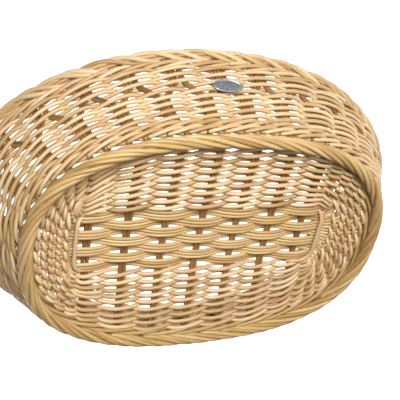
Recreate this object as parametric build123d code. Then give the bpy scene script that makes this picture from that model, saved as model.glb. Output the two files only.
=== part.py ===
from build123d import *
import math
import os

# A low oval wicker basket for a pet, woven from round rattan rods.
# Frame: +Z up, +X along the length, the badge on the front at -Y. The origin is on the
# ground under the middle of the basket, so the foot border rests on z = 0.
# All sizes are in millimetres.

# --- Driving dimensions -----------------------------------------------------------------
weaver_diameter = 4.2          # the rods that run around the basket
stake_diameter = 4.1           # the upright rods of the wall
stick_diameter = 4.8           # the short stiff sticks across the base
long_rod_diameter = 4.0        # the rods that run along the base, in threes
clearance = 0.35               # air between rods that lie on each other

foot_half_length = 222.7       # centre line of the foot border
foot_half_width = 145.5
foot_squareness = 2.44         # 2 is an ellipse, more is squarer
foot_roll_diameter = 17.2
foot_flat_depth = 0.6          # worn flat on the underside of the foot border

rim_half_length = 291.0        # centre line of the rim border
rim_half_width = 200.7
rim_squareness = 2.07
rim_height = 118.5
rim_roll_diameter = 19.0

wall_foot_half_length = 226.0  # the wall's middle surface where it leaves the base
wall_foot_half_width = 149.0
wall_foot_height = 14.0
wall_flare_angle = 28.0        # mean lean of the wall out from upright, degrees

wale_heights = (22.0, 28.5)
pairing_first_height = 36.0
pairing_pitch = 8.5
pairing_count = 5
upper_first_height = 82.0
upper_pitch = 9.0
upper_count = 3

stake_pair_count = 56
stake_foot_height = 18.8
stake_top_height = 107.0
grouped_from = 38.0            # the stake pairs stand in groups of two pairs here ...
grouped_to = 62.0
regrouped_from = 88.0          # ... and with their other neighbours above this
rod_pitch_in_pair = 4.9
stake_bend_radius = 14.0

base_height = 34.0             # middle of the raised centre of the base
base_edge_height = 19.6        # middle of the base where it meets the wall
base_panel_half_length = 161.5
base_panel_half_width = 41.0
base_panel_shift = -7.5
stick_pair_count = 7
stick_pair_spacing = 46.3
stick_pair_shift = -12.5
stick_edge_half_width = 139.0
stick_end_inset = 3.0          # the sticks' ends stay inside the foot border's centre line
stick_bend_radius = 60.0
long_band_count = 7
rods_in_band = 3
long_rod_pitch = 4.25
long_rod_end_inset = 5.0
long_rod_bend_radius = 5.0
fan_settle_length = 12.0       # a long band comes back to the base's slope over this ...
fan_settle_drop = 0.15         # ... and is this share further down the slope there
end_strand_length = 84.0
end_strand_inset = 3.0

base_row_count = 9
first_full_row = 5             # rows before this one only fill the long sides
base_row_first_half_width = 47.5
base_row_pitch = 10.7
base_row_last_half_length = 210.0
base_row_length_pitch = 9.3
short_row_margin = -2.0        # the filling rows' ovals are this much longer than the panel
short_row_length_pitch = 2.5
short_row_squareness = 9.0
short_row_rounding = 0.55
short_row_reach = 142.0        # the filling rows end here, before the panel's corners
squareness_per_row = 0.3       # each full row is this much squarer than the one outside it

badge_length = 38.0
badge_width = 17.0
badge_thickness = 1.2
badge_lip_width = 1.4
badge_lip_height = 0.7
badge_height = 72.5
badge_shift = 1.6              # towards +X from the middle of the front
pin_diameter = 2.0
pin_half_spacing = 3.5
pin_rise = 1.5                 # the pins pass between two rows, above the plate's middle
washer_length = 18.0
washer_width = 8.0
washer_thickness = 0.8

row_segments = 16              # a row is many short rods laid end to end
short_row_segments = 5
border_segments = 16
segment_gap = 0.5
straight_limit = 0.02          # an arc that bows less than this is made as a straight rod

# --- Worked out from them ---------------------------------------------------------------
layer_offset = (stake_diameter + weaver_diameter) / 2 + clearance
base_layer_offset = (stick_diameter + weaver_diameter) / 2 + clearance
band_layer_offset = (stick_diameter + long_rod_diameter) / 2 + clearance
flare = math.radians(wall_flare_angle)
wall_rise = rim_height - wall_foot_height


class Oval:
    """A squared ellipse in a level plane, walked by the fraction of its length."""

    samples = 1440

    def __init__(self, half_length, half_width, squareness, shift=0.0):
        self.points = []
        for i in range(self.samples + 1):
            angle = 2 * math.pi * i / self.samples - math.pi / 2
            across = abs(math.cos(angle)) / half_length
            along = abs(math.sin(angle)) / half_width
            radius = (across**squareness + along**squareness) ** (-1 / squareness)
            self.points.append((radius * math.cos(angle) + shift, radius * math.sin(angle)))
        self.lengths = [0.0]
        for start, end in zip(self.points, self.points[1:]):
            self.lengths.append(self.lengths[-1] + math.dist(start, end))
        self.length = self.lengths[-1]

    def at(self, fraction):
        """The point at this fraction of the way round, from the front towards +X."""
        target = (fraction % 1.0) * self.length
        low, high = 0, self.samples
        while high - low > 1:
            middle = (low + high) // 2
            if self.lengths[middle] <= target:
                low = middle
            else:
                high = middle
        step = self.lengths[high] - self.lengths[low]
        share = (target - self.lengths[low]) / step
        start, end = self.points[low], self.points[high]
        return (start[0] + share * (end[0] - start[0]), start[1] + share * (end[1] - start[1]))

    def fraction_at_x(self, x, front):
        """The fraction at which the oval's front or back half crosses this x."""
        low, high = (-0.25, 0.25) if front else (0.75, 0.25)
        for _ in range(40):
            middle = (low + high) / 2
            if self.at(middle)[0] < x:
                low = middle
            else:
                high = middle
        return (low + high) / 2


def mix(start, end, share):
    return start + (end - start) * share


def wall_oval(height, outward=0.0):
    """The wall's oval at this height, moved outward by some millimetres."""
    share = (height - wall_foot_height) / wall_rise
    return Oval(
        mix(wall_foot_half_length, rim_half_length, share) + outward,
        mix(wall_foot_half_width, rim_half_width, share) + outward,
        mix(foot_squareness, rim_squareness, share),
    )


def rod_along(path, diameter):
    """A round rod along a path, cut square at both ends."""
    section = Plane(origin=path @ 0, z_dir=path % 0) * Circle(diameter / 2)
    return sweep(section, path=path)


def arc_or_line(start, middle, end):
    """The arc through three points, or a straight line when they hardly bow."""
    chord = Vector(*end) - Vector(*start)
    to_middle = Vector(*middle) - Vector(*start)
    bow = chord.cross(to_middle).length / chord.length
    if bow < straight_limit:
        return Line(start, end)
    return ThreePointArc(start, middle, end)


def oval_paths(oval, height, start, end, count):
    """Arcs laid end to end along the oval, with a small gap at each joint."""
    paths = []
    gap = segment_gap / 2 / oval.length
    for i in range(count):
        first = mix(start, end, i / count) + gap
        last = mix(start, end, (i + 1) / count) - gap
        points = [(*oval.at(f), height) for f in (first, (first + last) / 2, last)]
        paths.append(arc_or_line(*points))
    return paths


def wall_row(height):
    """One woven row of the wall: a strand outside the stakes and a strand inside them."""
    rods = []
    for side in (1, -1):
        outward = side * layer_offset * math.cos(flare)
        lowered = side * layer_offset * math.sin(flare)
        oval = wall_oval(height, outward)
        for path in oval_paths(oval, height - lowered, 0, 1, row_segments):
            rods.append(rod_along(path, weaver_diameter))
    return rods


def base_row_oval(row):
    """The oval of a base row: squarer close to the woven panel, rounder at the wall."""
    half_width = base_row_first_half_width + base_row_pitch * (row - 1)
    if row < first_full_row:
        half_length = base_panel_half_length + short_row_margin + short_row_length_pitch * row
        squareness = short_row_squareness * row**-short_row_rounding
        return Oval(half_length, half_width, squareness, base_panel_shift)
    steps_in = base_row_count - row
    half_length = base_row_last_half_length - base_row_length_pitch * steps_in
    squareness = foot_squareness + squareness_per_row * steps_in
    return Oval(half_length, half_width, squareness, base_panel_shift * steps_in / base_row_count)


def base_row_height(row):
    """The base slopes down evenly from its panel to its edge."""
    half_width = base_row_first_half_width + base_row_pitch * (row - 1)
    share = (half_width - base_panel_half_width) / (stick_edge_half_width - base_panel_half_width)
    return mix(base_height, base_edge_height, share)


def base_row(row):
    """A woven row of the base: strands under and over the sticks."""
    rods = []
    height = base_row_height(row)
    oval = base_row_oval(row)
    if row >= first_full_row:
        spans = [(0.0, 1.0, row_segments)]
    else:
        spans = []
        for front in (True, False):
            ends = sorted(
                oval.fraction_at_x(base_panel_shift + side * short_row_reach, front) for side in (-1, 1)
            )
            spans.append((ends[0], ends[1], short_row_segments))
    for start, end, count in spans:
        for side in (-1, 1):
            for path in oval_paths(oval, height + side * base_layer_offset, start, end, count):
                rods.append(rod_along(path, weaver_diameter))
    return rods


def stick_pair(index):
    """Two sticks side by side across the base, bent down at both ends."""
    rods = []
    middle = stick_pair_shift + stick_pair_spacing * (index - (stick_pair_count - 1) / 2)
    edge_oval = Oval(foot_half_length - stick_end_inset, stick_edge_half_width, foot_squareness)
    for side in (-1, 1):
        x = middle + side * (stick_diameter + clearance) / 2
        edge = -edge_oval.at(edge_oval.fraction_at_x(x, True))[1]
        points = [
            (x, -edge, base_edge_height),
            (x, -base_panel_half_width, base_height),
            (x, base_panel_half_width, base_height),
            (x, edge, base_edge_height),
        ]
        path = FilletPolyline(*points, radius=stick_bend_radius)
        rods.append(rod_along(path, stick_diameter))
    return rods


def fan_edge_point(index, side):
    """Where a long band's end meets the edge of the base, spread round the oval's end."""
    half_length = foot_half_length - long_rod_end_inset
    edge_oval = Oval(half_length, stick_edge_half_width, foot_squareness)
    last_stick = stick_pair_shift + side * stick_pair_spacing * (stick_pair_count - 1) / 2
    front = edge_oval.fraction_at_x(last_stick, True)
    back = edge_oval.fraction_at_x(last_stick, False)
    if side < 0:
        back -= 1.0
    return edge_oval.at(mix(front, back, (index + 1) / (long_band_count + 1)))


def long_band(index):
    """Three rods side by side along the base, whose ends fan out to the edge."""
    rods = []
    pitch = 2 * base_panel_half_width / long_band_count
    y = pitch * (index - (long_band_count - 1) / 2)
    layer = band_layer_offset if index % 2 else -band_layer_offset
    for place in range(rods_in_band):
        shift = (place - (rods_in_band - 1) / 2) * long_rod_pitch
        points = []
        for side in (-1, 1):
            corner_x = base_panel_shift + side * base_panel_half_length
            edge_x, edge_y = fan_edge_point(index, side)
            turn = math.atan2(edge_y - y, abs(edge_x - corner_x))
            corner = (corner_x - side * shift * math.tan(turn / 2), y + shift)
            edge = (edge_x - side * shift * math.sin(turn), edge_y + shift * math.cos(turn))
            reach = math.dist(corner, edge)
            settle = fan_settle_length / reach
            settled = [mix(corner[i], edge[i], settle) for i in (0, 1)]
            level = mix(base_height, base_edge_height, settle + fan_settle_drop)
            tip = (*edge, base_edge_height)
            path = [tip, (*settled, level), (*corner, base_height + layer)]
            points.extend(path if side < 0 else reversed(path))
        path = FilletPolyline(*points, radius=long_rod_bend_radius)
        rods.append(rod_along(path, long_rod_diameter))
    return rods


def end_strands():
    """A strand across each end of the woven panel, under and over the long bands."""
    rods = []
    height = band_layer_offset + (long_rod_diameter + weaver_diameter) / 2 + clearance
    for side in (-1, 1):
        x = base_panel_shift + side * (base_panel_half_length - end_strand_inset)
        for layer in (-1, 1):
            z = base_height + layer * height
            half = end_strand_length / 2
            rods.append(rod_along(Line((x, -half, z), (x, half, z)), weaver_diameter))
    return rods


def stake_fraction(pair, height):
    """Where a stake pair stands at a height, in fractions of the way round the wall."""
    even = (pair + 0.5) / stake_pair_count
    close = rod_pitch_in_pair / wall_oval(height).length
    side = 1 if pair % 2 else -1
    if height < grouped_from:
        return even
    if height <= grouped_to:
        return even - side * 0.5 / stake_pair_count + side * close
    return even + side * 0.5 / stake_pair_count - side * close


def stake_pair(pair):
    """Two rods side by side that rise through the wall, leaning from group to group."""
    rods = []
    heights = (stake_foot_height, grouped_from, grouped_to, regrouped_from, stake_top_height)
    for side in (-0.5, 0.5):
        points = []
        for height in heights:
            oval = wall_oval(height)
            fraction = stake_fraction(pair, height) + side * rod_pitch_in_pair / oval.length
            points.append((*oval.at(fraction), height))
        path = FilletPolyline(*points, radius=stake_bend_radius)
        rods.append(rod_along(path, stake_diameter))
    return rods


def stakes(first, last):
    rods = []
    for pair in range(first, last):
        rods.extend(stake_pair(pair % stake_pair_count))
    return rods


def border_roll(oval, height, section_face):
    """A border rolled from many rods: a thick round roll, in arcs laid end to end."""
    rolls = []
    for path in oval_paths(oval, height, 0, 1, border_segments):
        plane = Plane(origin=path @ 0, x_dir=(0, 0, 1), z_dir=path % 0)
        rolls.append(sweep(plane * section_face, path=path))
    return rolls


def foot_border():
    """The foot roll: round, with its underside flattened where it meets the ground."""
    radius = foot_roll_diameter / 2
    height = radius - foot_flat_depth
    # The section's own x points up, so the flat is cut square to it.
    cut = Pos(-radius - height, 0) * Rectangle(2 * radius, 2 * foot_roll_diameter)
    face = Circle(radius) - cut
    oval = Oval(foot_half_length, foot_half_width, foot_squareness)
    return border_roll(oval, height, face.face())


def rim_border():
    oval = Oval(rim_half_length, rim_half_width, rim_squareness)
    return border_roll(oval, rim_height, Circle(rim_roll_diameter / 2).face())


def badge_plane():
    """A plane on the front wall's middle surface, facing out and a little down."""
    share = (badge_height - wall_foot_height) / wall_rise
    y = -mix(wall_foot_half_width, rim_half_width, share)
    lean = math.atan2(rim_half_width - wall_foot_half_width, wall_rise)
    return Plane(origin=(badge_shift, y, badge_height), x_dir=(1, 0, 0),
                 z_dir=(0, -math.cos(lean), -math.sin(lean)))


badge_back = layer_offset + weaver_diameter / 2 + clearance


def badge_plate():
    """An oval plate with a raised lip round its edge and no lettering."""
    plate = extrude(Ellipse(badge_length / 2, badge_width / 2), amount=badge_thickness)
    outer = Ellipse(badge_length / 2, badge_width / 2)
    inner = Ellipse(badge_length / 2 - badge_lip_width, badge_width / 2 - badge_lip_width)
    lip = extrude(outer - inner, amount=badge_thickness + badge_lip_height)
    return [badge_plane() * Pos(0, 0, badge_back) * (plate + lip)]


def badge_pins():
    """Two pins from the plate through the wall to the washer inside."""
    length = 2 * badge_back
    pins = []
    for side in (-1, 1):
        place = Pos(side * pin_half_spacing, pin_rise, 0)
        pins.append(badge_plane() * place * Cylinder(pin_diameter / 2, length))
    return pins


def badge_washer():
    """The plate inside the wall that the pins are clenched over."""
    shape = extrude(SlotOverall(washer_length, washer_width), amount=-washer_thickness)
    return [badge_plane() * Pos(0, pin_rise, -badge_back) * shape]


def save(name, solids):
    """Write one node. Every rod in it stays a separate solid."""
    pieces = [solid for part in solids for solid in part.solids()]
    export_step(Compound(children=pieces), f"parts/{name}.step")


def main():
    os.makedirs("parts", exist_ok=True)
    for index in range(stick_pair_count):
        save(f"base_stick_pair_{index + 1}", stick_pair(index))
    for index in range(long_band_count):
        save(f"base_long_band_{index + 1}", long_band(index))
    save("base_end_strands", end_strands())
    for row in range(1, base_row_count + 1):
        save(f"base_pairing_row_{row}", base_row(row))
    save("foot_border", foot_border())

    quarter = stake_pair_count // 4
    for number, name in enumerate(("front", "right", "back", "left")):
        first = number * quarter - quarter // 2
        save(f"stakes_{name}", stakes(first, first + quarter))
    for number, height in enumerate(wale_heights):
        save(f"wall_wale_row_{number + 1}", wall_row(height))
    for number in range(pairing_count):
        height = pairing_first_height + pairing_pitch * number
        save(f"wall_pairing_row_{number + 1}", wall_row(height))
    for number in range(upper_count):
        height = upper_first_height + upper_pitch * number
        save(f"wall_upper_row_{number + 1}", wall_row(height))
    save("rim_border", rim_border())

    save("badge_plate", badge_plate())
    save("badge_pins", badge_pins())
    save("badge_washer", badge_washer())


main()
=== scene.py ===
import math

import bpy
import numpy as np
from mathutils import Matrix, Vector


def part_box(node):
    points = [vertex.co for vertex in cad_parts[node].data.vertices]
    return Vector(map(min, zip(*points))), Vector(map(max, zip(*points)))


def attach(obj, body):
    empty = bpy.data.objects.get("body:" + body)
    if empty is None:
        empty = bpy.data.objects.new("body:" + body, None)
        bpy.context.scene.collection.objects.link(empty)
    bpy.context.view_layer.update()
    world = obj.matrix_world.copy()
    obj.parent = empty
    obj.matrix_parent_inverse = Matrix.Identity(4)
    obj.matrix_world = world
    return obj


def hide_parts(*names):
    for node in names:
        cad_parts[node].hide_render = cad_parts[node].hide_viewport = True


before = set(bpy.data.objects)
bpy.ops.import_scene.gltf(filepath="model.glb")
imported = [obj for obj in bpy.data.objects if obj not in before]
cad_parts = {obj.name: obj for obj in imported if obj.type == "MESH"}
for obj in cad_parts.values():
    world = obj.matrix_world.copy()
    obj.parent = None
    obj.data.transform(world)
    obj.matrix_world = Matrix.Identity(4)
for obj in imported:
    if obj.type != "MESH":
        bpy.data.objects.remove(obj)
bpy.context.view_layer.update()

# An oval rattan pet basket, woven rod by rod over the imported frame. Sizes are in metres.
MM = 0.001
BODY = "root"

# --- Rods -------------------------------------------------------------------------------
weaver = 4.8 * MM                # diameters
base_weaver = 5.2 * MM
stake = 3.7 * MM
stick = 4.8 * MM
long_rod = 4.4 * MM
foot_rod = 5.5 * MM
rim_rod = 5.9 * MM
core_rod = 4.4 * MM
tube_sides = 8
thick_tube_sides = 10            # for the sticks and the borders' rods

# --- How far hand-laid rods stray: slow drifts and quick jitters --------------------------
wall_drift, wall_jitter = 0.35 * MM, 0.15 * MM
base_drift, base_jitter = 0.4 * MM, 0.12 * MM
edge_jitter = 0.2 * MM
stake_drift = 0.2 * MM
stick_drift = 0.25 * MM
stake_lean = 0.0004              # as a fraction of the way round

# --- The wall's shape, as in the frame ----------------------------------------------------
foot_squareness = 2.44
rim_squareness = 2.07
wall_foot_height = 14 * MM
cad_weaver = 4.2 * MM
cad_layer_offset = 4.5 * MM
flare = math.radians(28)
row_overhang = cad_layer_offset * math.cos(flare) + cad_weaver / 2
groups = 28                      # groups of four stakes round the wall
pairs = 2 * groups
rod_pitch_in_pair = 3.7 * MM
stake_bottom = 16 * MM
stake_end_in_rim = 6 * MM
evenly_spaced_to = 18 * MM
grouped_from = 36 * MM
grouped_to = 69 * MM
regrouped_from = 79 * MM
twist_under_rim = 106.5 * MM     # the height of three strands just under the rim's roll
wale_rise, wale_sharpness, wale_bias = 2.9 * MM, 1.0, 0.35
foot_radius = 8.6 * MM
core_tails, core_turns, core_reach = 5, 5, 0.55

# --- The base's shape ---------------------------------------------------------------------
base_row_count = 9
first_full_row = 5
short_row_squareness = 9.0
end_squareness = 7.0
short_row_rounding = 0.55
short_row_margin, short_row_step = -1 * MM, 2.5 * MM
squareness_per_row = 0.3
base_panel_half_width = 41 * MM
long_band_count = 7
long_rod_count = 3 * long_band_count
long_rod_pitch = 0.97 * long_rod
long_rod_inset = 8 * MM
fan_edge_half_width = 139 * MM
foot_ring_inset = 13 * MM
fan_steps = (1.0, 1.5, 2.75)     # two of each three rods stay together and one goes alone
fan_least_lead, fan_lead, fan_lean = 4 * MM, 0.45, 0.12
base_sharpness = 1.2
full_twist_spacing, least_twist = 30 * MM, 0.45
end_strand_reach, end_strand_lift, end_strand_bow = 4 * MM, 3.0 * MM, 5.6 * MM
points_per_crossing = 10

rng = np.random.default_rng(11)


# --- Curves and tubes ---------------------------------------------------------------------
def unit(vectors):
    return vectors / np.linalg.norm(vectors, axis=-1, keepdims=True)


def mix(start, end, share):
    return start + (end - start) * share


def box_of(node):
    low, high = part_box(node)
    return np.array(low), np.array(high)


class Oval:
    """A squared ellipse in a level plane, walked by the fraction of its length.

    Fraction 0 is the middle of the front, at -Y, and it grows towards +X."""

    samples = 1440

    def __init__(self, half_length, half_width, squareness, shift=0.0):
        self.half_length, self.half_width = half_length, half_width
        self.squareness, self.shift = squareness, shift
        self.angles = np.linspace(-math.pi / 2, 1.5 * math.pi, self.samples + 1)
        across = np.abs(np.cos(self.angles)) / half_length
        along = np.abs(np.sin(self.angles)) / half_width
        radius = (across**squareness + along**squareness) ** (-1 / squareness)
        self.x = radius * np.cos(self.angles) + shift
        self.y = radius * np.sin(self.angles)
        steps = np.hypot(np.diff(self.x), np.diff(self.y))
        self.length = steps.sum()
        self.fractions = np.concatenate([[0.0], np.cumsum(steps)]) / self.length

    def at(self, fraction):
        wrapped = np.mod(fraction, 1.0)
        x = np.interp(wrapped, self.fractions, self.x)
        y = np.interp(wrapped, self.fractions, self.y)
        return np.stack([x, y], axis=-1)

    def outward(self, fraction):
        step = 0.002
        along = unit(self.at(fraction + step) - self.at(fraction - step))
        return np.stack([along[..., 1], -along[..., 0]], axis=-1)

    def fraction_at_angle(self, angle):
        wrapped = math.fmod(angle + 2.5 * math.pi, 2 * math.pi) - math.pi / 2
        return float(np.interp(wrapped, self.angles, self.fractions))

    def fraction_at_x(self, x, front):
        """Where the front or the back half crosses this x."""
        half = self.samples // 2
        quarter = half // 2
        if front:
            xs = np.concatenate([self.x[-quarter - 1:-1], self.x[:quarter + 1]])
            fractions = np.concatenate([self.fractions[-quarter - 1:-1] - 1,
                                        self.fractions[:quarter + 1]])
            return float(np.interp(x, xs, fractions))
        xs = self.x[quarter:quarter + half + 1][::-1]
        return float(np.interp(x, xs, self.fractions[quarter:quarter + half + 1][::-1]))

    def gauge(self, points):
        """Below 1 inside the oval, 1 on it and above 1 outside it."""
        across = np.abs((points[:, 0] - self.shift) / self.half_length)
        along = np.abs(points[:, 1] / self.half_width)
        return (across**self.squareness + along**self.squareness) ** (1 / self.squareness)

    def where_path_crosses(self, path):
        """The fraction at which a path that runs outward crosses the oval."""
        inside = np.maximum.accumulate(self.gauge(path))
        x, y = (np.interp(1.0, inside, path[:, i]) for i in (0, 1))
        return self.fraction_at_angle(math.atan2(y, x - self.shift))


def smooth_noise(count, waves, closed_turns=1.0):
    """A gentle random wobble of about unit size along a strand."""
    steps = np.linspace(0, 2 * math.pi * closed_turns, count)
    total = np.zeros(count)
    for wave in range(1, waves + 1):
        total += rng.normal() * np.sin(wave * steps + rng.uniform(0, 2 * math.pi))
    return total / math.sqrt(waves)


def catmull(points, per_span):
    """A smooth curve through a few points."""
    points = np.asarray(points, float)
    padded = np.vstack([2 * points[0] - points[1], points, 2 * points[-1] - points[-2]])
    t = np.linspace(0, 1, per_span, endpoint=False)[:, None]
    spans = []
    for a, b, c, d in zip(padded, padded[1:], padded[2:], padded[3:]):
        spans.append(0.5 * (2 * b + (c - a) * t + (2 * a - 5 * b + 4 * c - d) * t**2
                            + (3 * b - a - 3 * c + d) * t**3))
    return np.vstack([*spans, points[-1:]])


class Bundle:
    """Collects rods as tubes and makes them into one mesh with grain and tint attributes."""

    def __init__(self, sides=tube_sides):
        self.sides = sides
        self.points, self.quads, self.caps = [], [], []
        self.grain, self.tint = [], []
        self.count = 0

    def rod(self, path, toward, diameter, closed=False, tint=None):
        """A round rod along path; toward is a direction across it at each point."""
        path = np.asarray(path, float)
        toward = np.broadcast_to(np.asarray(toward, float), path.shape)
        if closed:
            along = unit(np.roll(path, -1, axis=0) - np.roll(path, 1, axis=0))
        else:
            along = unit(np.gradient(path, axis=0))
        across = unit(toward - (toward * along).sum(axis=1, keepdims=True) * along)
        beside = np.cross(along, across)
        turn = np.arange(self.sides) * 2 * math.pi / self.sides
        cosine, sine = np.cos(turn)[None, :, None], np.sin(turn)[None, :, None]
        radius = np.broadcast_to(diameter, len(path))[:, None, None] / 2
        ring = path[:, None] + radius * (across[:, None] * cosine + beside[:, None] * sine)
        steps = np.linalg.norm(np.diff(path, axis=0), axis=1)
        run = np.concatenate([[0.0], np.cumsum(steps)]) + rng.uniform(0, 40)
        grain = np.empty((len(path), self.sides, 3))
        grain[..., 0] = run[:, None]
        grain[..., 1:] = np.concatenate([radius * cosine, radius * sine], axis=2)
        index = self.count + np.arange(len(path) * self.sides).reshape(len(path), self.sides)
        following = np.roll(index, -1, axis=0) if closed else index[1:]
        present = index if closed else index[:-1]
        quads = np.stack([present, following, np.roll(following, -1, axis=1),
                          np.roll(present, -1, axis=1)], axis=-1)
        self.quads.append(quads.reshape(-1, 4))
        if not closed:
            self.caps += [index[0], index[-1][::-1]]
        self.points.append(ring.reshape(-1, 3))
        self.grain.append(grain.reshape(-1, 3))
        shade = rng.uniform() if tint is None else tint
        self.tint.append(np.full(len(path) * self.sides, shade))
        self.count += len(path) * self.sides

    def finish(self, name, node, slot, material):
        quads = np.vstack(self.quads)[:, ::-1]
        caps = np.array(self.caps, int).reshape(-1, self.sides)[:, ::-1]
        mesh = bpy.data.meshes.new(name)
        mesh.vertices.add(self.count)
        mesh.vertices.foreach_set("co", np.vstack(self.points).ravel())
        corners = np.concatenate([quads.ravel(), caps.ravel()])
        totals = np.concatenate([np.full(len(quads), 4), np.full(len(caps), self.sides)])
        starts = np.concatenate([[0], np.cumsum(totals)[:-1]])
        mesh.loops.add(len(corners))
        mesh.loops.foreach_set("vertex_index", corners)
        mesh.polygons.add(len(totals))
        mesh.polygons.foreach_set("loop_start", starts)
        mesh.polygons.foreach_set("use_smooth", totals == 4)
        mesh.update(calc_edges=True)
        mesh.validate()
        grain = mesh.attributes.new("grain", "FLOAT_VECTOR", "POINT")
        grain.data.foreach_set("vector", np.vstack(self.grain).ravel())
        tint = mesh.attributes.new("tint", "FLOAT", "POINT")
        tint.data.foreach_set("value", np.concatenate(self.tint))
        mesh.materials.append(material)
        piece = bpy.data.objects.new(name, mesh)
        bpy.context.scene.collection.objects.link(piece)
        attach(piece, BODY)
        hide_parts(*([node] if isinstance(node, str) else node))
        return piece


# --- The wall's middle surface ------------------------------------------------------------
def row_oval(node):
    """A wall row's half length, half width and height, from its box in the frame."""
    low, high = box_of(node)
    half = (high - low) / 2
    return half[0] - row_overhang, half[1] - row_overhang, (low[2] + high[2]) / 2


rim_low, rim_high = box_of("rim_border")
foot_low, foot_high = box_of("foot_border")
rim_radius = (rim_high[2] - rim_low[2]) / 2
rim_height = (rim_high[2] + rim_low[2]) / 2
foot_height = foot_high[2] - foot_radius


class Wall:
    """The flaring surface in which the stakes stand."""

    lowest, level_count = 10 * MM, 14

    def __init__(self):
        low = np.array(row_oval("wall_wale_row_1"))
        high = np.array(row_oval("wall_upper_row_3"))
        self.levels = np.linspace(self.lowest, rim_high[2], self.level_count)
        self.ovals = []
        for level in self.levels:
            share = (level - low[2]) / (high[2] - low[2])
            half_length, half_width = mix(low[:2], high[:2], share)
            rise = (level - wall_foot_height) / (rim_height - wall_foot_height)
            squareness = mix(foot_squareness, rim_squareness, rise)
            self.ovals.append(Oval(half_length, half_width, squareness))

    def length(self, height):
        return float(np.interp(height, self.levels, [oval.length for oval in self.ovals]))

    def point(self, fraction, height):
        fraction, height = np.broadcast_arrays(np.asarray(fraction, float), height)
        place = (height - self.levels[0]) / (self.levels[1] - self.levels[0])
        below = np.clip(place.astype(int), 0, len(self.levels) - 2)
        share = place - below
        grid = np.stack([oval.at(fraction) for oval in self.ovals])
        steps = np.arange(len(fraction))
        level = mix(grid[below, steps], grid[below + 1, steps], share[:, None])
        return np.column_stack([level, height])

    def directions(self, fraction, height):
        """The unit vectors outward and up the slope at each point."""
        along = self.point(fraction + 0.002, height) - self.point(fraction - 0.002, height)
        up = unit(self.point(fraction, height + 3 * MM) - self.point(fraction, height - 3 * MM))
        return unit(np.cross(along, up)), up


wall = Wall()


# --- Woven rows of the wall ---------------------------------------------------------------
def square_wave(phase, sharpness, bias=0.0):
    """A cosine with flattened crests, as a rod bends round a group of stakes."""
    return np.tanh(sharpness * (np.cos(phase) + bias)) / math.tanh(sharpness)


def twist_round_wall(bundle, height, strands, spokes, start, rise, sharpness=1.1, bias=0.0):
    """Strands that twist round each other between the spokes, all round the wall."""
    count = spokes * points_per_crossing + 1
    fraction = start + np.linspace(0, 1, count)
    drift = smooth_noise(count, 9) * wall_drift
    depth = (stake + weaver) / 2
    for strand in range(strands):
        phase = 2 * math.pi * (spokes * (fraction - start) + strand) / strands
        level = np.full(count, height)
        outward, up = wall.directions(fraction, level)
        path = wall.point(fraction, level)
        path += outward * (depth * square_wave(phase, sharpness, bias))[:, None]
        swing = rise * np.sin(phase) + drift + smooth_noise(count, 24) * wall_jitter
        path += up * swing[:, None]
        bundle.rod(path, outward, weaver)


def wall_row(node, *pattern):
    """One row of the wall, at its height in the frame; the pattern is as above."""
    bundle = Bundle()
    twist_round_wall(bundle, row_oval(node)[2], *pattern)
    return bundle.finish(f"woven_{node}", node, "weave_rods", straw)


# --- Stakes -------------------------------------------------------------------------------
def stake_fraction(pair, height, lean):
    """Where a stake pair stands at these heights, as fractions of the way round."""
    side = 1 if pair % 2 else -1
    even = (pair + 0.5) / pairs
    close = rod_pitch_in_pair / wall.length(mix(grouped_from, grouped_to, 0.5))
    lower = even - side * (0.5 / pairs - close)
    upper = even + side * (0.5 / pairs - close)
    heights = [evenly_spaced_to, grouped_from, grouped_to, regrouped_from]
    return np.interp(height, heights, [even, lower, lower, upper]) + lean


def stakes(node, first, last):
    """Pairs of stakes that stand close together from the foot up and part in the wall."""
    bundle = Bundle()
    for pair in range(first, last):
        lean = rng.normal() * stake_lean
        for side in (-0.5, 0.5):
            height = np.linspace(stake_bottom, rim_height - stake_end_in_rim, 26)
            fraction = stake_fraction(pair % pairs, height, lean)
            fraction = np.convolve(np.pad(fraction, 2, mode="edge"), np.ones(5) / 5, "valid")
            path = wall.point(fraction, height)
            outward, up = wall.directions(fraction, height)
            along = unit(np.gradient(path, axis=0))
            path = path + np.cross(outward, along) * (-side * rod_pitch_in_pair)
            path += outward * (smooth_noise(len(height), 3, 0.5) * stake_drift)[:, None]
            bundle.rod(path, outward, stake)
    # The stakes take the darkened rattan, which is painted shade.
    return bundle.finish(f"woven_{node}", node, "stakes", painted_shade_brown)


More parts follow.
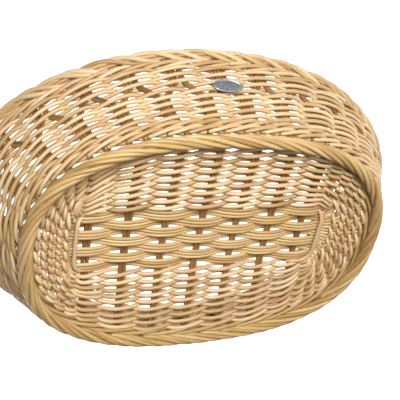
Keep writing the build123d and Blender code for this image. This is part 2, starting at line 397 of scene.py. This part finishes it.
# --- Rolled borders -----------------------------------------------------------------------
def border(oval, height, radius, rod, start_turn, end_turn, run, droop=0.0):
    """A rod from each stake pair, rolled round a border's section as it runs along it.

    The turns are in degrees round the section, and the run is in pairs along the border.
    Droop stretches the lower half of the section down the wall's slope."""
    bundle = Bundle(thick_tube_sides)
    core = radius - rod / 2
    steps = np.linspace(0, 1, 48)
    for pair in range(pairs):
        stretch = run * (1 + rng.normal() * 0.05)
        fraction = (pair + 0.5 + rng.normal() * 0.08 + stretch * steps) / pairs
        turn = np.radians(start_turn + (end_turn - start_turn) * steps)
        tucked = 1 - 0.4 * np.abs(2 * steps - 1) ** 8
        reach = (core - abs(rng.normal()) * 0.3 * MM) * tucked
        out = reach * np.cos(turn)
        rise = reach * np.sin(turn)
        lowered = np.minimum(rise, 0) * droop
        out, rise = out + lowered * 0.45, rise + lowered
        outward = np.column_stack([oval.outward(fraction), np.zeros(len(steps))])
        path = np.column_stack([oval.at(fraction), height + rise])
        path += outward * out[:, None]
        section = outward * np.cos(turn)[:, None]
        section[:, 2] = np.sin(turn)
        bundle.rod(path, section, rod)
    # The rods' tails run on inside the roll and fill it: a ring of them round a middle one.
    count = 240
    fraction = np.linspace(0, 1, count, endpoint=False)
    outward = np.column_stack([oval.outward(fraction), np.zeros(count)])
    middle = np.column_stack([oval.at(fraction), np.full(count, height)])
    for tail in range(core_tails + 1):
        turn = 2 * math.pi * (tail / core_tails + core_turns * fraction)
        reach = (0.0 if tail == core_tails else core_reach) * core
        path = middle + outward * (reach * np.cos(turn))[:, None]
        path[:, 2] += reach * np.sin(turn)
        # Tint 0.9 gives these core rods a darker tone: painted shade for the inside of the roll.
        bundle.rod(path, outward, core_rod, closed=True, tint=0.9)
    return bundle


# --- The base -----------------------------------------------------------------------------
stick_boxes = [box_of(f"base_stick_pair_{i + 1}") for i in range(7)]
stick_places = [float(low[0] + high[0]) / 2 for low, high in stick_boxes]
base_height = stick_boxes[3][1][2] - stick / 2
base_edge_height = stick_boxes[3][0][2] + stick / 2 + 0.2 * MM
band_low, band_high = box_of("base_end_strands")
panel_left, panel_right = float(band_low[0]), float(band_high[0])
panel_shift = (panel_left + panel_right) / 2
panel_half_length = (panel_right - panel_left) / 2
foot_half_length = (foot_high[0] - foot_low[0]) / 2
edge_oval = Oval(foot_half_length - foot_ring_inset, fan_edge_half_width, foot_squareness)


def base_slope(half_width):
    """The base is level in its panel and slopes down evenly to its edge."""
    share = (half_width - base_panel_half_width) / (fan_edge_half_width - base_panel_half_width)
    return mix(base_height, base_edge_height, np.clip(share, 0, 1))


def base_row_shape(row):
    """A base row's oval. The first rows are only stretches of one, beside the panel."""
    low, high = box_of(f"base_pairing_row_{row}")
    half_width = (high[1] - low[1]) / 2 - cad_weaver / 2
    if row >= first_full_row:
        half_length = (high[0] - low[0]) / 2 - cad_weaver / 2
        squareness = foot_squareness + squareness_per_row * (base_row_count - row)
        return Oval(half_length, half_width, squareness, (low[0] + high[0]) / 2)
    half_length = panel_half_length + short_row_margin + short_row_step * row
    squareness = short_row_squareness * row**-short_row_rounding
    return Oval(half_length, half_width, squareness, panel_shift)


base_rows = {row: base_row_shape(row) for row in range(1, base_row_count + 1)}
full_rows = [base_rows[row] for row in range(first_full_row, base_row_count + 1)]


def base_level(points):
    """The height of the base's middle at each point, from the rows it lies between."""
    across = np.abs(points[:, 0] - panel_shift) / panel_half_length
    panel = np.maximum(across, np.abs(points[:, 1]) / base_panel_half_width)
    gauges = np.array([panel] + [oval.gauge(points) for oval in full_rows])[::-1]
    levels = np.array([base_height] + [base_slope(oval.half_width) for oval in full_rows])
    return np.array([np.interp(1.0, gauge, levels[::-1]) for gauge in gauges.T])


def rod_place(number):
    """How far across the panel one of the long rods lies."""
    band, place = divmod(number, 3)
    middle = 2 * base_panel_half_width / long_band_count * (band - (long_band_count - 1) / 2)
    return middle + (place - 1) * long_rod_pitch


def fan_tip(number, side):
    """Where a long rod's end meets the edge of the base."""
    last_stick = stick_places[-1] if side > 0 else stick_places[0]
    front = edge_oval.fraction_at_x(last_stick, True)
    back = edge_oval.fraction_at_x(last_stick, False) - (1 if side < 0 else 0)
    band, place = divmod(number, 3)
    step = 3 * band + fan_steps[place]
    return edge_oval.at(mix(front, back, step / (long_rod_count + 1)))


def fan_path(number, side, count=40):
    """A long rod's end, from the panel out to the edge of the base."""
    start = np.array([panel_right if side > 0 else panel_left, rod_place(number)])
    tip = fan_tip(number, side)
    ahead = max(fan_least_lead, fan_lead * abs(tip[0] - start[0]))
    bend = start + np.array([side * ahead, fan_lean * (tip[1] - start[1])])
    t = np.linspace(0, 1, count)[:, None]
    return start * (1 - t) ** 2 + bend * 2 * t * (1 - t) + tip * t**2


fan_paths = {(number, side): fan_path(number, side)
             for number in range(long_rod_count) for side in (-1, 1)}


def end_spokes(row, side):
    """The paths of the fanned rods round which a base row twists at one end."""
    if row == first_full_row:
        return [fan_paths[number, side] for number in range(1, long_rod_count, 3)]
    paths = []
    for first in range(0, long_rod_count, 3):
        together = (fan_paths[first, side] + fan_paths[first + 1, side]) / 2
        paths += [together, fan_paths[first + 2, side]]
    return paths if row > first_full_row else paths[:2] + paths[-2:]


def spoke_fractions(oval, row):
    """The fractions at which the sticks and the fanned rods cross a base row, in order."""
    ordered = [oval.fraction_at_x(x, True) for x in stick_places]
    ordered += [oval.where_path_crosses(path) for path in end_spokes(row, 1)]
    ordered += [oval.fraction_at_x(x, False) for x in reversed(stick_places)]
    ordered += [oval.where_path_crosses(path) for path in reversed(end_spokes(row, -1))]
    unrolled = [ordered[0]]
    for fraction in ordered[1:]:
        while fraction < unrolled[-1]:
            fraction += 1.0
        unrolled.append(fraction)
    return np.array(unrolled)


def base_row(row):
    """Two strands that twist between the spokes, each in turn under the base."""
    node = f"base_pairing_row_{row}"
    oval = base_rows[row]
    spokes = spoke_fractions(oval, row)
    total = len(spokes)
    fans = len(end_spokes(row, 1))
    half_fans = fans // 2
    if row >= first_full_row:
        spans = [(spokes[3], spokes[3] + 1)]
    else:
        spans = [(spokes[-half_fans] - 1, spokes[6 + half_fans]),
                 (spokes[7 + half_fans], spokes[13 + fans + half_fans])]
    order = np.arange(-total, 2 * total)
    known = np.concatenate([spokes - 1, spokes, spokes + 1])
    bundle = Bundle()
    for start, end in spans:
        first, last = (np.interp(edge, known, order) for edge in (start, end))
        turns = np.linspace(first, last, int(round(last - first)) * points_per_crossing + 1)
        fraction = np.interp(turns, order, known)
        fraction = np.convolve(np.pad(fraction, 2, mode="reflect", reflect_type="odd"),
                               np.ones(5) / 5, "valid")
        count = len(turns)
        drift = smooth_noise(count, 8) * base_drift
        # Between close spokes the strands twist less and sit flatter.
        spacing = np.gradient(fraction, turns) * oval.length
        tight = np.clip(spacing / full_twist_spacing, least_twist, 1.0)
        for strand in (0, 1):
            phase = math.pi * (turns + row + strand)
            outward = oval.outward(fraction)
            swing = base_weaver / 2 * tight * np.sin(phase) + drift
            swing = swing + smooth_noise(count, 20) * base_jitter
            flat = oval.at(fraction) + outward * swing[:, None]
            depth = (long_rod + base_weaver) / 2 * square_wave(phase, base_sharpness)
            bundle.rod(np.column_stack([flat, base_level(flat) - depth]), (0, 0, 1),
                       base_weaver)
    return bundle.finish(f"woven_{node}", node, "weave_rods", straw)


def stick_pair(index):
    """Two stiff sticks side by side right across the base."""
    node = f"base_stick_pair_{index + 1}"
    edge = float(stick_boxes[index][1][1])
    count = 60
    bundle = Bundle(thick_tube_sides)
    for side in (-0.5, 0.5):
        y = np.linspace(-edge, edge, count)
        x = stick_places[index] + side * stick + smooth_noise(count, 2, 0.5) * stick_drift
        flat = np.column_stack([x, y])
        z = np.convolve(np.pad(base_level(flat), 3, mode="edge"), np.ones(7) / 7, "valid")
        bundle.rod(np.column_stack([flat, z]), (0, 0, 1), stick)
    # The sticks take the darkened rattan, which is painted shade.
    return bundle.finish(f"woven_{node}", node, "base_sticks", painted_shade_brown)


def long_band(index):
    """Three rods that weave along the base's sticks and fan out at both ends."""
    node = f"base_long_band_{index + 1}"
    bundle = Bundle()
    depth = (stick + long_rod) / 2
    spacing = (stick_places[-1] - stick_places[0]) / (len(stick_places) - 1)
    count = 60
    for place in range(3):
        number = 3 * index + place
        x = np.linspace(panel_left + long_rod_inset, panel_right - long_rod_inset, count)
        phase = math.pi * ((x - stick_places[0]) / spacing + index)
        drift = smooth_noise(count, 6, 0.5) * stick_drift
        z = base_height - depth * square_wave(phase, 1.0)
        middle = np.column_stack([x, rod_place(number) + drift, z])
        left, right = (np.column_stack([path, base_level(path)])[3::4]
                       for path in (fan_paths[number, -1], fan_paths[number, 1]))
        rough = np.vstack([left[::-1], middle[::2], right])
        bundle.rod(catmull(rough, 4), (0, 0, 1), long_rod)
    return bundle.finish(f"woven_{node}", node, "base_rods", honey)


def end_strands():
    """The strands that close the woven panel's ends and tuck in under the first rows."""
    bundle = Bundle()
    oval = Oval(panel_half_length - cad_weaver / 2, base_panel_half_width + end_strand_reach,
                end_squareness, panel_shift)
    ends = ((oval.fraction_at_x(panel_right - 9 * MM, True),
             oval.fraction_at_x(panel_right - 34 * MM, False)),
            (oval.fraction_at_x(panel_left + 14 * MM, False),
             oval.fraction_at_x(panel_left + 9 * MM, True) + 1))
    count = 60
    for start, end in ends:
        fraction = np.linspace(start, end, count)
        bow = np.clip(2.2 * np.sin(np.linspace(0, math.pi, count)), 0, 1)
        for layer in (-1, 1):
            level = base_height + layer * (end_strand_lift + end_strand_bow * bow)
            path = np.column_stack([oval.at(fraction), level])
            bundle.rod(path, (0, 0, 1), base_weaver, tint=0.3)
    return bundle.finish("woven_base_end_strands", "base_end_strands", "weave_rods", straw)


def edge_twist(bundle):
    """Three long strands that twist round the base where it meets the foot border."""
    oval = Oval(edge_oval.half_length - 1 * MM, fan_edge_half_width + 0.5 * MM, foot_squareness)
    count = groups * points_per_crossing + 1
    fraction = np.linspace(0, 1, count)
    outward = oval.outward(fraction)
    for strand in range(3):
        phase = 2 * math.pi * (groups * fraction + strand) / 3
        swing = base_weaver * 0.6 * np.sin(phase) + smooth_noise(count, 20) * edge_jitter
        flat = oval.at(fraction) + outward * swing[:, None]
        depth = (long_rod + base_weaver) / 2 * square_wave(phase, wale_sharpness, wale_bias)
        path = np.column_stack([flat, base_edge_height - 0.5 * MM - depth])
        bundle.rod(path, (0, 0, 1), base_weaver)


# --- The badge ----------------------------------------------------------------------------
def badge(material):
    """A blank oval plate with a rolled lip, lying on the front wall."""
    low, high = box_of("badge_plate")
    centre = (low + high) / 2
    half_length = (high[0] - low[0]) / 2
    lean = math.atan2(high[1] - low[1], high[2] - low[2])
    half_width = (high[2] - low[2]) / 2 / math.cos(lean) * 0.99
    out = np.array([0, -math.cos(lean), -math.sin(lean)])
    up = np.array([0, -math.sin(lean), math.cos(lean)])
    profile = [(0.0, 0.55), (0.30, 0.5), (0.60, 0.32), (0.76, 0.15), (0.81, 0.2), (0.86, 0.75),
               (0.91, 0.95), (0.96, 0.75), (1.0, 0.1), (0.99, -0.5), (0.94, -0.9), (0.0, -0.9)]
    turn = np.linspace(0, 2 * math.pi, 64, endpoint=False)
    points, faces = [], []
    for scale, lift in profile:
        ring = (np.outer(np.cos(turn) * half_length * scale, [1, 0, 0])
                + np.outer(np.sin(turn) * half_width * scale, up) + out * lift * MM)
        points.append(ring + centre)
    for ring in range(len(profile) - 1):
        for i in range(64):
            j = (i + 1) % 64
            a, b = ring * 64, (ring + 1) * 64
            faces.append((a + i, a + j, b + j, b + i))
    mesh = bpy.data.meshes.new("badge_face")
    mesh.from_pydata(np.vstack(points).tolist(), [], faces)
    mesh.validate()
    piece = bpy.data.objects.new("badge_face", mesh)
    bpy.context.scene.collection.objects.link(piece)
    weld = piece.modifiers.new("weld", "WELD")
    weld.merge_threshold = 0.01 * MM
    mesh.shade_smooth()
    mesh.materials.append(material)
    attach(piece, BODY)
    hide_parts("badge_plate")
    return piece


# --- Materials ----------------------------------------------------------------------------
def node_maker(material):
    material.use_nodes = True
    nodes, links = material.node_tree.nodes, material.node_tree.links

    def make(kind, inputs=(), **settings):
        node = nodes.new(kind)
        for name, value in settings.items():
            setattr(node, name, value)
        for name, value in dict(inputs).items():
            if isinstance(value, bpy.types.NodeSocket):
                links.new(value, node.inputs[name])
            else:
                node.inputs[name].default_value = value
        return node

    return make, nodes["Principled BSDF"], links


def ramp(make, factor, stops):
    node = make("ShaderNodeValToRGB", {"Fac": factor})
    elements = node.color_ramp.elements
    while len(elements) < len(stops):
        elements.new(0.5)
    for element, (place, color) in zip(elements, stops):
        element.position = place
        element.color = (*color, 1)
    return node.outputs["Color"]


def rattan(name, pale, tan, dark, roughness):
    """Peeled rattan: a tint for each rod, streaks along it, and patches of other hues."""
    material = bpy.data.materials.new(name)
    make, shader, links = node_maker(material)
    grain = make("ShaderNodeAttribute", attribute_name="grain").outputs["Vector"]
    tint = make("ShaderNodeAttribute", attribute_name="tint").outputs["Fac"]

    def noise(scale, detail, shift=0.0):
        place = make("ShaderNodeMapping", {"Vector": grain, "Scale": scale,
                                           "Location": (shift, shift, 0)})
        return make("ShaderNodeTexNoise", {"Vector": place.outputs[0], "Scale": 1.0,
                                           "Detail": detail}).outputs["Fac"]

    def blend(base, top, amount, kind):
        node = make("ShaderNodeMix", data_type="RGBA", blend_type=kind)
        # A Mix node's colour sockets are its seventh and eighth.
        for socket, value in ((0, amount), (6, base), (7, top)):
            if isinstance(value, bpy.types.NodeSocket):
                links.new(value, node.inputs[socket])
            else:
                node.inputs[socket].default_value = value
        return node.outputs[2]

    streak = noise((45, 1500, 1500), 4.0)
    patch = noise((22, 140, 140), 3.0)
    hue = noise((14, 60, 60), 2.0, 31.0)
    shade = make("ShaderNodeMath", {0: tint, 1: 0.5}, operation="MULTIPLY").outputs[0]
    shade = make("ShaderNodeMath", {0: patch, 1: 0.8, 2: shade},
                 operation="MULTIPLY_ADD").outputs[0]
    color = ramp(make, shade, [(0.2, pale), (0.6, tan), (1.0, dark)])
    pinkish = ramp(make, hue, [(0.50, (0, 0, 0)), (0.62, (1, 1, 1))])
    golden = ramp(make, hue, [(0.36, (1, 1, 1)), (0.48, (0, 0, 0))])
    color = blend(color, (1.03, 0.95, 0.95, 1), pinkish, "MULTIPLY")
    color = blend(color, (0.98, 0.97, 0.80, 1), golden, "MULTIPLY")
    line = ramp(make, streak, [(0.3, (0.74, 0.64, 0.52)), (0.55, (1, 1, 1))])
    links.new(blend(color, line, 0.6, "MULTIPLY"), shader.inputs["Base Color"])
    rough = make("ShaderNodeMapRange", {"Value": patch, "To Min": roughness - 0.08,
                                        "To Max": roughness + 0.12}).outputs[0]
    links.new(rough, shader.inputs["Roughness"])
    bump = make("ShaderNodeBump", {"Height": streak, "Strength": 0.35, "Distance": 0.25 * MM})
    links.new(bump.outputs["Normal"], shader.inputs["Normal"])
    shader.inputs["Specular IOR Level"].default_value = 0.5
    shader.inputs["Sheen Weight"].default_value = 0.1
    return material


def brushed_metal(name, color, roughness):
    """Cast grey metal with fine lengthwise brushing and faint mottling."""
    material = bpy.data.materials.new(name)
    make, shader, links = node_maker(material)
    place = make("ShaderNodeTexCoord").outputs["Object"]
    brushed = make("ShaderNodeMapping", {"Vector": place, "Scale": (300, 6000, 6000)})
    brush = make("ShaderNodeTexNoise", {"Vector": brushed.outputs[0], "Scale": 1.0,
                                        "Detail": 3.0}).outputs["Fac"]
    mottle = make("ShaderNodeTexNoise", {"Vector": place, "Scale": 350.0,
                                         "Detail": 4.0}).outputs["Fac"]
    dark = tuple(0.6 * part for part in color)
    links.new(ramp(make, mottle, [(0.3, dark), (0.7, color)]), shader.inputs["Base Color"])
    rough = make("ShaderNodeMapRange", {"Value": brush, "To Min": roughness - 0.1,
                                        "To Max": roughness + 0.15}).outputs[0]
    links.new(rough, shader.inputs["Roughness"])
    bump = make("ShaderNodeBump", {"Height": mottle, "Strength": 0.4, "Distance": 0.2 * MM})
    links.new(bump.outputs["Normal"], shader.inputs["Normal"])
    shader.inputs["Metallic"].default_value = 0.85
    return material


# --- Camera, light and floor --------------------------------------------------------------
def make_camera():
    """Looks up at the basket's underside from in front and to the left."""
    place = Vector((-0.2910, -0.4402, -0.5701))
    forward = Vector((0.3531, 0.5046, 0.7879)).normalized()
    up = Vector((0.0219, -0.8464, 0.5322))
    right = forward.cross(up).normalized()
    up = right.cross(forward)
    camera = bpy.data.objects.new("camera", bpy.data.cameras.new("camera"))
    camera.data.sensor_width = 36
    camera.data.lens = 57.9
    camera.data.clip_start = 0.01
    turn = Matrix((right, up, -forward)).transposed().to_4x4()
    camera.matrix_world = Matrix.Translation(place) @ turn
    bpy.context.scene.collection.objects.link(camera)
    bpy.context.scene.camera = camera


def area_light(name, place, target, size, power):
    light = bpy.data.objects.new(name, bpy.data.lights.new(name, "AREA"))
    light.data.size = size
    light.data.energy = power
    light.data.color = (1.0, 0.98, 0.95)
    light.location = place
    light.rotation_euler = (Vector(target) - Vector(place)).to_track_quat("-Z", "Y").to_euler()
    bpy.context.scene.collection.objects.link(light)


def make_world():
    """White behind the object, and a softer white as the light that falls on it."""
    world = bpy.data.worlds.new("studio")
    world.use_nodes = True
    nodes, links = world.node_tree.nodes, world.node_tree.links
    nodes.clear()
    seen, lit = (nodes.new("ShaderNodeBackground") for _ in range(2))
    seen.inputs["Color"].default_value = (1, 1, 1, 1)
    seen.inputs["Strength"].default_value = 1.3
    lit.inputs["Color"].default_value = (1.0, 0.86, 0.66, 1)
    lit.inputs["Strength"].default_value = 0.10
    path = nodes.new("ShaderNodeLightPath")
    choose = nodes.new("ShaderNodeMixShader")
    out = nodes.new("ShaderNodeOutputWorld")
    links.new(path.outputs["Is Camera Ray"], choose.inputs[0])
    links.new(lit.outputs[0], choose.inputs[1])
    links.new(seen.outputs[0], choose.inputs[2])
    links.new(choose.outputs[0], out.inputs["Surface"])
    bpy.context.scene.world = world


def make_floor():
    """A pale floor that is seen only from above, so that the underside can be seen too."""
    bpy.ops.mesh.primitive_plane_add(size=16, location=(0, 0, -0.2 * MM))
    floor = bpy.context.object
    floor.name = "floor"
    material = bpy.data.materials.new("floor_white")
    make, shader, links = node_maker(material)
    shader.inputs["Base Color"].default_value = (0.55, 0.55, 0.54, 1)
    shader.inputs["Roughness"].default_value = 0.8
    shader.inputs["Emission Color"].default_value = (0.95, 0.95, 0.94, 1)
    shader.inputs["Emission Strength"].default_value = 0.42
    clear = make("ShaderNodeBsdfTransparent")
    behind = make("ShaderNodeNewGeometry").outputs["Backfacing"]
    choose = make("ShaderNodeMixShader", {0: behind})
    links.new(shader.outputs[0], choose.inputs[1])
    links.new(clear.outputs[0], choose.inputs[2])
    links.new(choose.outputs[0], material.node_tree.nodes["Material Output"].inputs["Surface"])
    floor.data.materials.append(material)
    floor.visible_shadow = False
    floor.visible_diffuse = False
    floor.visible_glossy = False


# --- Put together ---------------------------------------------------------------------------
bpy.context.scene.view_settings.view_transform = "Standard"
bpy.context.scene.view_settings.look = "Medium High Contrast"
bpy.context.scene.view_settings.exposure = -0.2
make_camera()
make_world()
make_floor()
for name, place, target, size, power in (
        ("key", (-0.20, -0.98, -0.82), (0, 0, 0.03), 0.55, 22),
        ("camera_side", (-0.9, -0.6, -1.3), (0, 0, 0.03), 0.9, 4),
        ("far_side", (1.1, -0.3, -1.1), (0.1, 0, 0.03), 0.9, 6),
        ("top", (0.5, -0.9, 1.6), (0, 0, 0.03), 1.2, 24),
        ("overhead", (-0.3, 0.3, 2.4), (0, 0, 0.03), 2.4, 24),
        ("back", (-0.6, 1.5, 0.8), (0, 0, 0.05), 1.2, 18),
        ("right", (1.5, -0.2, 0.3), (0, 0, 0.05), 1.0, 10)):
    area_light(name, place, target, size, power)

straw = rattan("rattan_weave", (0.72, 0.60, 0.42), (0.60, 0.45, 0.27), (0.42, 0.27, 0.12), 0.45)
honey = rattan("rattan_base", (0.68, 0.54, 0.33), (0.58, 0.43, 0.23), (0.42, 0.27, 0.10), 0.48)
# Stakes and sticks: the rattan darkened well below the weave's, as painted shade for where they
# show in the recesses between the strands.
painted_shade_brown = rattan("rattan_stakes_painted_shade", (0.36, 0.22, 0.08), (0.27, 0.15, 0.05), (0.17, 0.09, 0.03), 0.55)
smooth = rattan("rattan_border", (0.62, 0.48, 0.28), (0.52, 0.38, 0.19), (0.36, 0.23, 0.08), 0.42)
pale = rattan("rattan_rim", (0.68, 0.55, 0.38), (0.58, 0.43, 0.26), (0.40, 0.26, 0.12), 0.42)
metal = brushed_metal("badge_grey", (0.46, 0.49, 0.54), 0.5)

for index in range(len(stick_places)):
    stick_pair(index)
for index in range(long_band_count):
    long_band(index)
end_strands()
for row in base_rows:
    base_row(row)

quarter = pairs // 4
for number, side_name in enumerate(("front", "right", "back", "left")):
    first = number * quarter - quarter // 2
    stakes(f"stakes_{side_name}", first, first + quarter)

for number in (1, 2):
    start = 0.5 + 0.5 / pairs
    wall_row(f"wall_wale_row_{number}", 3, pairs, start, wale_rise, wale_sharpness, wale_bias)
for number in range(1, 6):
    start = 0.5 + (0.5 + number % 2) / groups
    wall_row(f"wall_pairing_row_{number}", 2, groups, start, weaver / 2)
for number in range(1, 4):
    start = 0.5 + (number % 2) / groups
    wall_row(f"wall_upper_row_{number}", 2, groups, start, weaver / 2)

foot_oval = Oval(foot_half_length - foot_radius,
                 (foot_high[1] - foot_low[1]) / 2 - foot_radius, foot_squareness)
foot_bundle = border(foot_oval, foot_height, foot_radius, foot_rod, 70, -215, 5.2)
edge_twist(foot_bundle)
foot_bundle.finish("woven_foot_border", "foot_border", "borders", smooth)
rim_oval = Oval((rim_high[0] - rim_low[0]) / 2 - rim_radius,
                (rim_high[1] - rim_low[1]) / 2 - rim_radius, rim_squareness)
rim_bundle = border(rim_oval, rim_height, rim_radius, rim_rod, 200, -105, 4.2, 0.6)
twist_round_wall(rim_bundle, twist_under_rim, 3, pairs, 0.5 / pairs, wale_rise, wale_sharpness,
                 wale_bias)
rim_bundle.finish("woven_rim_border", "rim_border", "borders", pale)

badge(metal)
for name in ("badge_pins", "badge_washer"):
    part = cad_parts[name]
    part.data.materials.clear()
    part.data.materials.append(metal)
